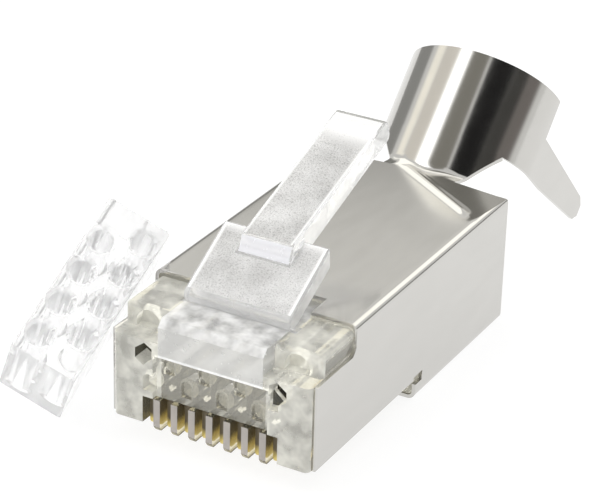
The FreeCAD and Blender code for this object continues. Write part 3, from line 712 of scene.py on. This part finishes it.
@dataclass
class LatchPiece(Piece):
    """The latch lever: speckled upper faces between painted highlights along the edges, and a satin
    step.
    """

    # speckled tops, with painted highlights along the edges and towards the end
    plate_top: SparkPlastic = SparkPlastic("speckled_plate", (2.70, 2.85), (5.8, 6.4))
    tab_top: SparkPlastic = SparkPlastic("speckled_tab", (1.20, 1.32), (12.2, 13.8),
                                         shade=(0.36, 0.355, 0.35), glow=0.06)
    # step: emission paints light on it
    step: ClearPlastic = ClearPlastic("satin_step", clarity=(0.15, 0.22), glow=0.06,
                                      light=(0.90, 0.90, 0.94), shade=(0.87, 0.87, 0.91),
                                      frost=0.3, depth_mm=0.001)
    # rounded end: greyer colour, painted shade
    end: ClearPlastic = ClearPlastic("rounded_end_painted_shade", clarity=(0.35, 0.45), light=(0.58, 0.58, 0.56),
                                     shade=(0.50, 0.50, 0.48), depth_mm=0.001)
    # sides: emission paints light on them
    side: ClearPlastic = ClearPlastic("side_painted_light", clarity=(0.30, 0.75), wave_mm=1.5,
                                      light=(0.94, 0.94, 0.93), shade=(0.78, 0.78, 0.77),
                                      depth_mm=0.004, glow=0.10)
    # underside of the tab: emission paints light on it
    underside: ClearPlastic = ClearPlastic("lit_underside", clarity=(0.45, 0.55), glow=0.35,
                                           depth_mm=0.001)
    # share of a face's normal from which it looks along an axis, and under which it doesn't
    facing: float = 0.75
    edge_on: float = 0.5
    broad_mm2: float = 2.0
    # depths behind the mating face
    tab_front_mm: float = 5.0
    tab_root_mm: float = 7.0
    end_mm: float = 14.95

    def finishes(self) -> list[Finish]:
        """Finishes of the lever's zones, in the order of the zones' numbers."""
        return [self.finish, self.plate_top, self.tab_top, self.step, self.end, self.side,
                self.underside]

    def zone(self, face: bpy.types.MeshPolygon) -> LatchZone:
        """Zone of a face.

        Args:
            face: A face of the finished mesh.

        Returns:
            The zone by the face's place, its size and the direction that it looks in.
        """
        spot, normal = face.center / MM, face.normal
        broad = face.area > self.broad_mm2 * MM * MM
        # the rounded end gets the painted shade
        if spot.y > self.end_mm and abs(normal.x) < self.edge_on and not broad:
            return LatchZone.END
        if normal.z > self.facing and broad:
            return LatchZone.TAB_TOP if spot.y > self.tab_root_mm else LatchZone.PLATE_TOP
        if normal.y < -self.facing and spot.y > self.tab_front_mm:
            return LatchZone.STEP
        if abs(normal.x) > self.facing and broad:
            return LatchZone.SIDE
        if normal.z < -self.facing and broad and spot.y > self.tab_root_mm:
            return LatchZone.UNDERSIDE
        return LatchZone.CLEAR


@dataclass(frozen=True)
class TailShape:
    """Surface of the shield's rear roof, folded neck and fan, in millimetres.

    Heights count from the underside of the corner blocks, as on the drawing.
    """

    axis_height: float = 2.65
    gauge: float = 0.20
    # roof
    top: float = 6.36
    front: float = 17.60
    rear: float = 21.69
    roof_half: float = 5.20
    # neck: its sides, the foot of the tail's crown line, its slope and the length of the bend
    neck_left: float = -2.00
    neck_right: float = 2.45
    foot_depth: float = 22.53
    foot_height: float = 6.57
    tilt: float = math.radians(44.65)
    bend: float = 0.30
    # fan: radius and sideways drop of its arch, its end up the tail, and how gently it grows
    radius: float = 4.60
    fan_drop: float = 1.90
    fan_end: float = 2.14
    ease: float = 0.15
    # crease: its two ends, the slope of the facet behind it, and the bead along it
    crease_start: tuple[float, float] = (-1.99, 23.13)
    crease_end: tuple[float, float] = (4.79, 18.55)
    crease_drop: float = math.tan(math.radians(3.5))
    bead_rise: float = 0.10
    bead_half: float = 0.50
    bead_margin: float = 0.15
    bead_fade: float = 0.60
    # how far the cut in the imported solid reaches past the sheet
    cover: float = 0.60
    rear_lap: float = 0.10
    fan_lap: float = 0.30
    # rounds of the search for the fold, and the grid: columns, and rows of roof, taper, bend, fan
    corner_rounds: int = 6
    columns: int = 120
    rows: tuple[int, int, int, int] = (56, 10, 14, 36)

    def along(self, point: Vector) -> float:
        """Distance of a point up the tail from its foot, in millimetres."""
        return ((point.y - self.foot_depth) * math.cos(self.tilt)
                + (point.z + self.axis_height - self.foot_height) * math.sin(self.tilt))

    @property
    def low(self) -> float:
        """Lowest height of what belongs to the roof and the tail, from the plug's axis."""
        return self.top - self.axis_height - self.cover

    @property
    def climb(self) -> Vector:
        """Direction up the tail."""
        return Vector((0.0, math.cos(self.tilt), math.sin(self.tilt)))

    def roof(self, x: float, y: float) -> float:
        """Height of the roof, with the raised crease and the facet that falls away behind it."""
        run = Vector(self.crease_end) - Vector(self.crease_start)
        run.normalize()
        behind = -run.y * (x - self.crease_start[0]) + run.x * (y - self.crease_start[1])
        fade = min(1.0, max(0.0, (self.roof_half - self.bead_margin - abs(x)) / self.bead_fade))
        bead = 0.0
        if abs(behind) < self.bead_half:
            bead = self.bead_rise * math.cos(0.5 * math.pi * behind / self.bead_half) ** 2
        return self.top - self.crease_drop * max(behind, 0.0) + bead * fade

    def tail_point(self, x: float, a: float, n: float) -> Vector:
        """A point given up the tail and inwards from its outer face."""
        return Vector((x, self.foot_depth + a * math.cos(self.tilt) + n * math.sin(self.tilt),
                       self.foot_height + a * math.sin(self.tilt) - n * math.cos(self.tilt)))

    def sag(self, x: float) -> float:
        """How far the barrel's arch lies inwards of its crown, at a distance to the side."""
        return self.radius - math.sqrt(self.radius ** 2 - x ** 2)

    def corner(self, x: float) -> Vector:
        """Where the roof would meet the rising tail if the neck were sharply folded."""
        y = self.foot_depth
        for _ in range(self.corner_rounds):
            y = self.foot_depth + (self.roof(x, y) - self.foot_height) / math.tan(self.tilt)
        return Vector((x, y, self.roof(x, y)))

    def point(self, across: float, row: int) -> Vector:
        """A point of the sheet's outer face.

        Args:
            across: 0 at the left edge of the sheet to 1 at its right edge.
            row: Number of the row, counted from the front.

        Returns:
            The point in millimetres, at the drawing's heights.
        """
        wide = self.roof_half * (2.0 * across - 1.0)
        narrow = self.neck_left + (self.neck_right - self.neck_left) * across
        corner = self.corner(narrow)
        roof_rows, taper_rows, bend_rows, fan_rows = self.rows
        if row <= roof_rows:
            y = self.front + (self.rear - self.front) * row / roof_rows
            return Vector((wide, y, self.roof(wide, y)))
        row -= roof_rows
        if row <= taper_rows:
            share = row / taper_rows
            x = wide + (narrow - wide) * share
            y = self.rear + (corner.y - self.bend - self.rear) * share
            return Vector((x, y, self.roof(x, y)))
        row -= taper_rows
        grown = min(1.0, row / (bend_rows + self.ease * fan_rows))
        grown *= grown * (3.0 - 2.0 * grown)
        if row <= bend_rows:
            share = row / bend_rows
            start = Vector((narrow, corner.y - self.bend, 0.0))
            start.z = self.roof(start.x, start.y)
            end = corner + self.climb * self.bend
            inward = Vector((0.0, self.climb.z, -self.climb.y)) * self.sag(narrow) * grown
            return (start * (1 - share) ** 2 + corner * (2 * share * (1 - share))
                    + end * share ** 2 + inward)
        share = (row - bend_rows) / fan_rows
        start = self.along(corner - Vector((0.0, 0.0, self.axis_height))) + self.bend
        lean = math.asin(math.sqrt(self.radius ** 2 - (self.radius - self.fan_drop) ** 2)
                         / self.radius) * (2.0 * across - 1.0)
        x = narrow + (self.radius * math.sin(lean) - narrow) * share
        return self.tail_point(x, start + (self.fan_end - start) * share, self.sag(x) * grown)


@dataclass
class ShieldPiece(Piece):
    """The folded shield, with its rear roof, neck and fan pressed from a finely divided sheet."""

    tail: TailShape = TailShape()

    def form(self, bm: bmesh.types.BMesh) -> None:
        """Break the cut edges of the sheet, then rebuild the roof's rear end, neck and fan."""
        super().form(bm)
        self.open_rear(bm)
        self.press_tail(bm)

    def in_tail(self, point: Vector) -> bool:
        """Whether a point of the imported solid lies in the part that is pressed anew."""
        tail = self.tail
        spot = point / MM
        behind = spot.y > tail.rear and tail.along(spot) < tail.fan_end
        in_roof = (abs(spot.x) < tail.roof_half
                   and tail.front < spot.y <= tail.rear + tail.rear_lap)
        return spot.z > tail.low and (behind or in_roof)

    def open_rear(self, bm: bmesh.types.BMesh) -> None:
        """Cut the roof's rear end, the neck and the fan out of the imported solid."""
        tail = self.tail
        foot = tail.tail_point(0.0, tail.fan_end, 0.0) - Vector((0.0, 0.0, tail.axis_height))
        for place, normal in ((Vector((-tail.roof_half, 0, 0)), Vector((1, 0, 0))),
                              (Vector((tail.roof_half, 0, 0)), Vector((1, 0, 0))),
                              (Vector((0, tail.front, 0)), Vector((0, 1, 0))),
                              (foot, tail.climb)):
            upper = [face for face in bm.faces
                     if face.calc_center_median().z > tail.low * MM
                     or face.calc_center_median().y > (tail.rear + tail.fan_lap) * MM]
            part_faces(bm, upper, place * MM, normal)
        gone = [face for face in bm.faces if self.in_tail(face.calc_center_median())]
        log.info("shield: %d faces cut away at the rear", len(gone))
        bmesh.ops.delete(bm, geom=gone, context="FACES")

    def press_tail(self, bm: bmesh.types.BMesh) -> None:
        """Press the new sheet from a flat grid and give it its thickness."""
        tail = self.tail
        count = sum(tail.rows)
        grid = bmesh.ops.create_grid(bm, x_segments=tail.columns, y_segments=count, size=1.0)
        drop = Vector((0.0, 0.0, tail.axis_height))
        for vert in grid["verts"]:
            across = 0.5 * (vert.co.x + 1.0)
            row = round(0.5 * (vert.co.y + 1.0) * count)
            vert.co = (tail.point(across, row) - drop) * MM
        faces = {face for vert in grid["verts"] for face in vert.link_faces}
        bmesh.ops.solidify(bm, geom=list(faces), thickness=tail.gauge * MM)


@dataclass
class Blade(Piece):
    """One contact blade, with the tighter toe that the stamping tool leaves."""

    toe_mm: tuple[float, float] = (0.45, -2.95)
    toe_round_mm: float = 0.80
    tight_round_mm: float = 0.35
    level_slack_mm: float = 0.005
    round_slack_mm: float = 0.02

    def form(self, bm: bmesh.types.BMesh) -> None:
        """Draw the rounding of the toe in towards its corner, then break the edges."""
        corner = Vector(self.toe_mm)
        middle = corner + Vector((1.0, 1.0)) * self.toe_round_mm
        tight = corner + Vector((1.0, 1.0)) * self.tight_round_mm
        for vert in bm.verts:
            spot = Vector((vert.co.y, vert.co.z)) / MM
            reach = spot - middle
            if (max(reach) < self.level_slack_mm
                    and abs(reach.length - self.toe_round_mm) < self.round_slack_mm):
                spot = tight + reach * (self.tight_round_mm / self.toe_round_mm)
                vert.co.y, vert.co.z = spot.x * MM, spot.y * MM
        super().form(bm)


@dataclass
class ContactSet:
    """The eight gold blades."""

    finish: GoldPlate = GoldPlate("gold_flash")
    count: int = 8
    edge_mm: float = 0.02

    def build(self) -> None:
        """Build and dress every blade."""
        for number in range(1, self.count + 1):
            Blade(f"contact_{number}", PLUG_BODY, "gold_contact", self.finish,
                  self.edge_mm).build()


# ------------------------------------------------------------------------------------------ studio
@dataclass(frozen=True)
class Card:
    """A soft rectangular patch of the surroundings, seen only as light and reflection."""

    azimuth: float
    elevation: float
    half_width: float
    half_height: float
    colour: Colour
    softness: float = 3.0


@dataclass
class Studio:
    """Pale floor, soft surroundings with a few cards, and the camera."""

    sky: Colour = (0.86, 0.86, 0.85)
    strength: float = 1.0
    cards: list[Card] = field(default_factory=lambda: [
        Card(-28, 29.5, 26, 6, (0.93, 0.92, 0.89)),
        Card(-24, 15, 22, 9.6, (0.26, 0.26, 0.245), 1.5),
        Card(15, 31, 16, 8, (1.8, 1.77, 1.68)),
        Card(35, 3, 22, 4, (0.16, 0.155, 0.15)),
        Card(-15, 55, 50, 9, (1.5, 1.48, 1.42)),
        Card(-58, 58, 22, 12, (1.8, 1.78, 1.68)),
        Card(-52, 42, 20, 9, (1.8, 1.78, 1.68)),
        Card(-10, 76, 55, 10, (0.33, 0.325, 0.305), 5.0),
        Card(-60, 6, 26, 15, (0.36, 0.36, 0.35)),
        Card(-95, 33, 6, 6, (1.40, 1.35, 1.22)),
        Card(-113, 46, 12, 9, (0.92, 0.88, 0.81)),
        Card(-138, 58, 13, 12, (2.6, 2.6, 2.6)),
        Card(178, 64, 26, 12, (0.29, 0.28, 0.25)),
        Card(121, 50, 24, 13, (0.015, 0.015, 0.015)),
        Card(95, 30, 16, 10, (0.07, 0.068, 0.064), 5.0),
        Card(78, 15, 13, 8, (0.22, 0.20, 0.19), 6.0),
    ])
    floor_half: float = 0.7
    # key lamp, in metres and watts
    key_place: tuple[float, float, float] = (-0.25, -0.10, 0.55)
    key_size: tuple[float, float] = (0.5, 0.4)
    key_energy: float = 0.8
    # camera: bearing, height and roll in degrees, and where it looks
    azimuth: float = 28.58
    elevation: float = 26.52
    roll: float = 1.68
    distance_mm: float = 129.07
    target_mm: tuple[float, float, float] = (-0.61, 10.0, 3.75)
    lens: float = 149.54
    sensor: float = 36.0
    near: float = 0.01

    def build_world(self) -> None:
        """Make the surroundings out of a pale sky and the cards."""
        world = bpy.data.worlds.new("studio_surroundings")
        nodes = Nodes(world)
        ray = nodes.split(nodes.add("ShaderNodeTexCoord").outputs["Generated"])
        bearing = nodes.calculate("ARCTAN2", ray["X"], ray["Y"])
        height = nodes.calculate("ARCSINE", ray["Z"])
        colour = self.sky
        for card in self.cards:
            away = nodes.calculate("SUBTRACT", bearing, math.radians(card.azimuth))
            away = nodes.calculate("WRAP", away, math.pi, -math.pi)
            rise = nodes.calculate("SUBTRACT", height, math.radians(card.elevation))
            wide, tall = (
                nodes.spread(nodes.calculate("ABSOLUTE", offset), 0.0, 1.0,
                             math.radians(half + card.softness / 2),
                             math.radians(half - card.softness / 2), smooth=True)
                for offset, half in ((away, card.half_width), (rise, card.half_height)))
            colour = nodes.blend(nodes.calculate("MULTIPLY", wide, tall), colour, card.colour)
        background = nodes.add("ShaderNodeBackground")
        background.inputs["Strength"].default_value = self.strength
        nodes.join(colour, background.inputs["Color"])
        output = nodes.add("ShaderNodeOutputWorld")
        nodes.join(background.outputs["Background"], output.inputs["Surface"])
        bpy.context.scene.world = world

    def build_floor(self) -> None:
        """Lay the white paper under the part."""
        bm = bmesh.new()
        bmesh.ops.create_grid(bm, x_segments=1, y_segments=1, size=self.floor_half)
        bmesh.ops.translate(bm, verts=bm.verts, vec=(0, 0, CAD_BOX[0][2]))
        mesh = bpy.data.meshes.new("floor")
        bm.to_mesh(mesh)
        bm.free()
        floor = bpy.data.objects.new("floor", mesh)
        mesh.materials.append(LitPaper("white_paper").make())
        bpy.context.scene.collection.objects.link(floor)

    def build_key(self) -> None:
        """Hang a large soft lamp over the part."""
        lamp = bpy.data.lights.new("key", "AREA")
        lamp.shape = "RECTANGLE"
        lamp.size, lamp.size_y = self.key_size
        lamp.energy = self.key_energy
        key = bpy.data.objects.new("key", lamp)
        place = Vector(self.key_place)
        aim = (-place).to_track_quat("-Z", "Y").to_matrix().to_4x4()
        key.matrix_world = Matrix.Translation(place) @ aim
        key.visible_glossy = False
        key.visible_transmission = False
        bpy.context.scene.collection.objects.link(key)

    def build_camera(self) -> None:
        """Set up the camera at its bearing, height and roll."""
        turn, tilt, roll = (math.radians(angle) for angle in
                            (self.azimuth, self.elevation, self.roll))
        ahead = Vector((-math.sin(turn) * math.cos(tilt), math.cos(turn) * math.cos(tilt),
                        -math.sin(tilt)))
        level = Vector((math.cos(turn), math.sin(turn), 0.0))
        upright = level.cross(ahead)
        right = level * math.cos(roll) + upright * math.sin(roll)
        up = upright * math.cos(roll) - level * math.sin(roll)
        data = bpy.data.cameras.new("camera")
        data.lens = self.lens
        data.sensor_width = self.sensor
        data.clip_start = self.near
        camera = bpy.data.objects.new("camera", data)
        place = Vector(self.target_mm) * MM - ahead * self.distance_mm * MM
        axes = Matrix((right, up, -ahead)).transposed().to_4x4()
        camera.matrix_world = Matrix.Translation(place) @ axes
        bpy.context.scene.collection.objects.link(camera)
        bpy.context.scene.camera = camera

    def build(self) -> None:
        """Build the whole studio."""
        self.build_world()
        self.build_floor()
        self.build_key()
        self.build_camera()
        bpy.context.scene.view_settings.view_transform = "Standard"
        log.info("studio: %d cards", len(self.cards))


def main() -> None:
    """Build the plug's pieces and the studio in order."""
    logging.basicConfig(level=logging.INFO, format="%(name)s %(message)s")
    # the glow of each clear finish is emission, painted light that brightens the plastic
    pieces = [
        HousingPiece("housing", PLUG_BODY, "clear_housing",
                     ClearPlastic("clear_nose", clarity=(0.72, 0.80), light=(0.94, 0.92, 0.82),
                                  shade=(0.86, 0.84, 0.74), wave_mm=1.6, depth_mm=0.015,
                                  glow=0.05), 0.04),
        LatchPiece("latch_lever", LATCH_BODY, "clear_latch",
                   ClearPlastic("clear_latch", clarity=(0.70, 0.80), light=(1.0, 1.0, 1.0),
                                shade=(0.90, 0.90, 0.91), wave_mm=2.5, depth_mm=0.004,
                                glow=0.06), 0.12, rings=3),
        Piece("load_bar", PLUG_BODY, "clear_bar",
              ClearPlastic("clear_bar", clarity=(0.78, 0.84), light=(1.0, 1.0, 1.0),
                           shade=(0.97, 0.97, 0.98), wave_mm=1.6, glow=0.05), 0.10),
        ShieldPiece("shield", PLUG_BODY, "nickel_sheet", NickelPlate("nickel_plate"), 0.03),
    ]
    for piece in pieces:
        piece.build()
    ContactSet().build()
    Studio().build()


if __name__ == "__main__":
    main()
